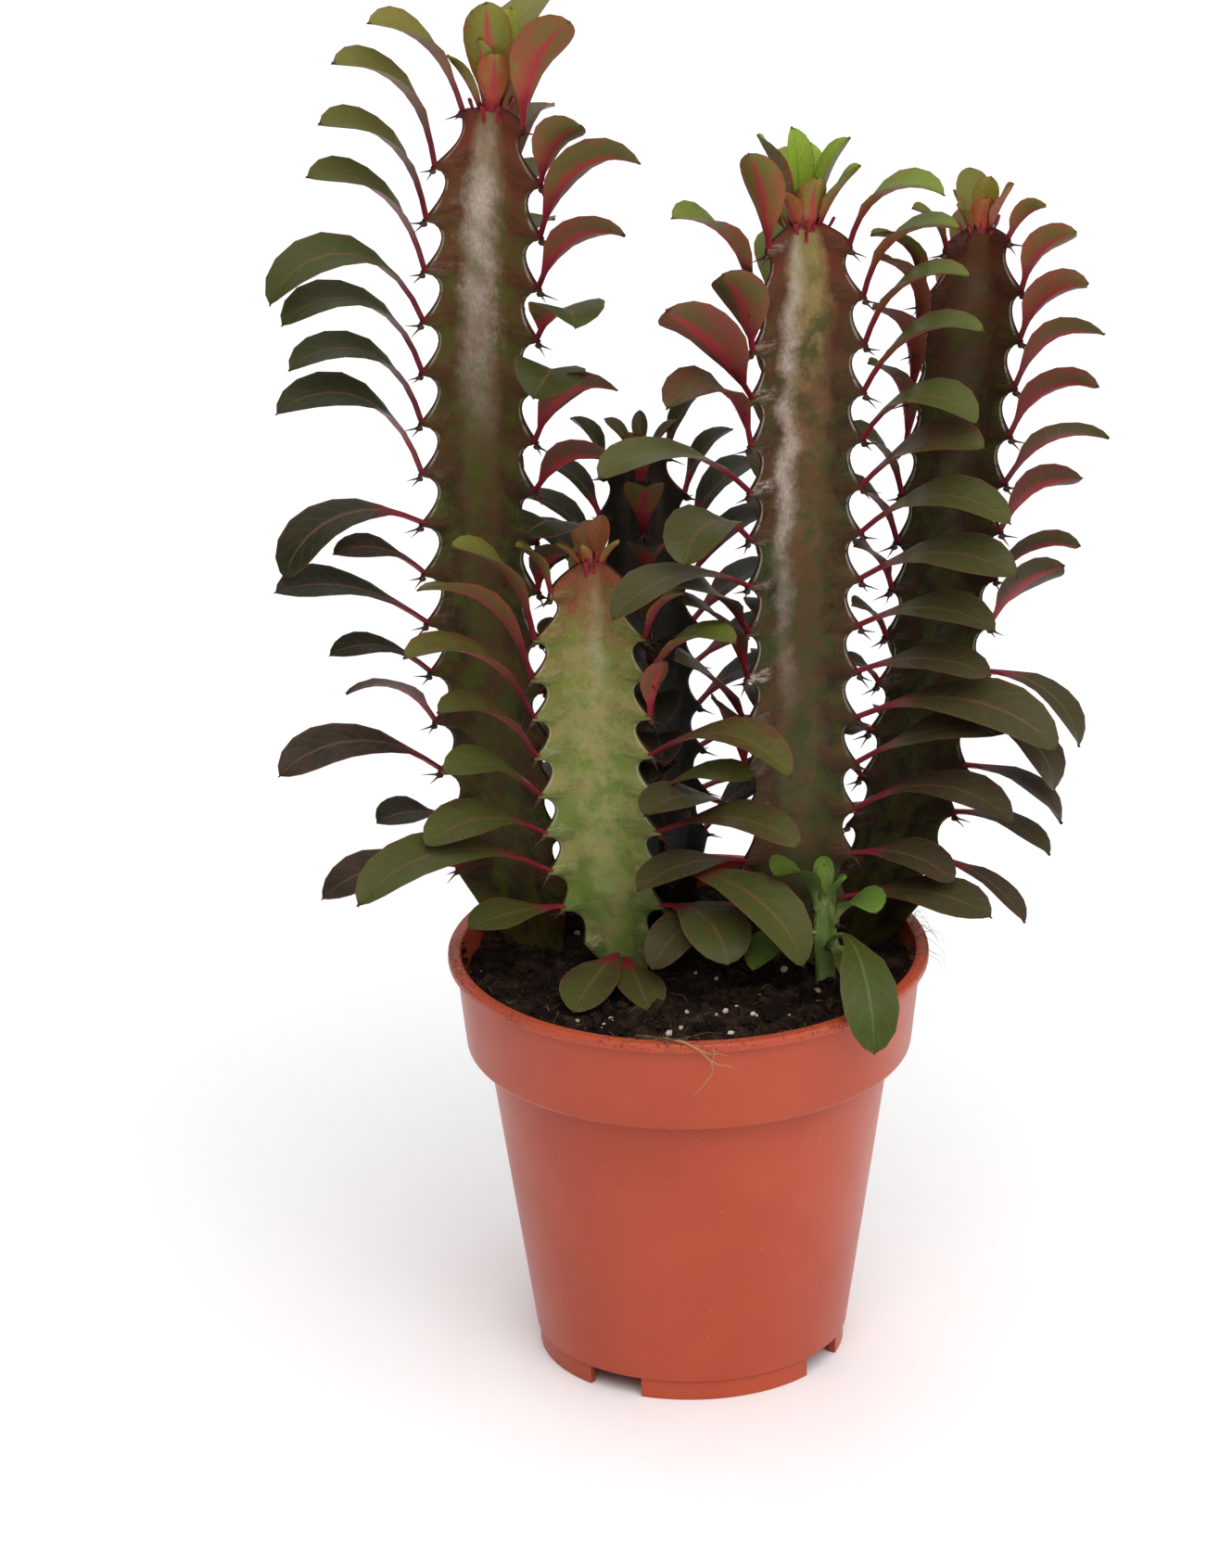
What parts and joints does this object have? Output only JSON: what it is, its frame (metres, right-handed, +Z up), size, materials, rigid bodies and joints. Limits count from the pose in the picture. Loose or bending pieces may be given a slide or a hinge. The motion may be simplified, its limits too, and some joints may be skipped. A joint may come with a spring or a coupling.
{
  "type": "potted euphorbia",
  "caption": "Three-ribbed leafy succulent stems with paired spines, standing in soil in a round plastic nursery pot.",
  "frame": {"origin": "on the ground at the centre of the pot's base", "axes": "+Z up along the pot's axis; the plant's front looks along -Y and its right is +X"},
  "size_m": [0.2043, 0.1228, 0.35],
  "materials": {
    "pot_plastic": "smooth terracotta-coloured moulded plastic with a satin sheen",
    "potting_soil": "loose damp dark peat with pale grains and fine fibres",
    "leafy_stem": "fleshy dark olive and maroon skin with a satin sheen",
    "young_stem": "fleshy light green skin with a satin sheen"
  },
  "bodies": {
    "root": {"pot": "pot_plastic", "soil": "potting_soil", "stem_left_tall": "leafy_stem", "stem_middle_tall": "leafy_stem", "stem_right_tall": "leafy_stem", "stem_rear_short": "leafy_stem", "stem_front_short": "young_stem", "shoot_basal": "young_stem"}
  },
  "joints": []
}
